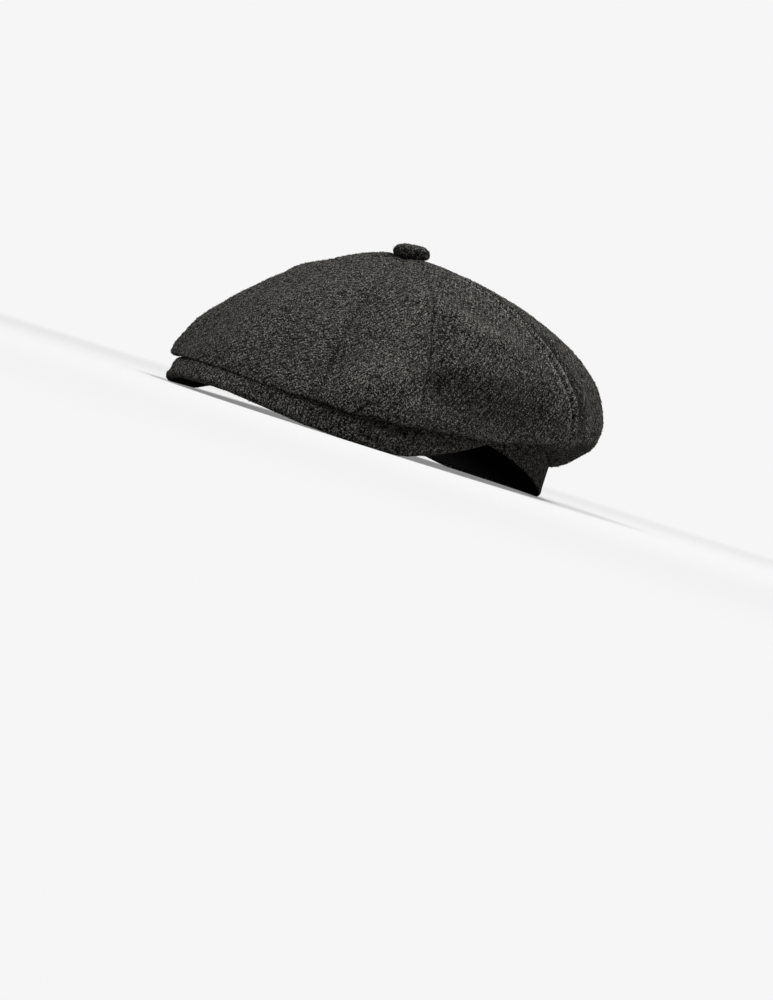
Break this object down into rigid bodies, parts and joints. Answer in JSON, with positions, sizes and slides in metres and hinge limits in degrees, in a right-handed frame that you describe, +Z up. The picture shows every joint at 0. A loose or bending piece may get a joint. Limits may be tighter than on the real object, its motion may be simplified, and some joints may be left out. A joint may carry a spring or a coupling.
{
  "type": "flat cap",
  "caption": "Soft tweed newsboy-style flat cap with a full panelled crown, short drooping peak, band, sweatband and covered top button.",
  "frame": {"origin": "middle of the footprint of the whole cap, at the surface that it rests on", "axes": "+Z up, -Y towards the tip of the peak, +X to the wearer's left; the two sides mirror each other across x = 0"},
  "size_m": [0.2324, 0.2754, 0.1206],
  "materials": {
    "tweed": "charcoal wool twill with lighter flecks, matt and slightly hairy",
    "sweatband_tape": "smooth black tape, matt"
  },
  "bodies": {
    "root": {"crown_panel_1": "tweed", "crown_panel_2": "tweed", "crown_panel_3": "tweed", "crown_panel_4": "tweed", "crown_panel_5": "tweed", "crown_panel_6": "tweed", "crown_panel_7": "tweed", "crown_panel_8": "tweed", "peak": "tweed", "band": "tweed", "top_button": "tweed", "sweatband": "sweatband_tape"}
  },
  "joints": []
}
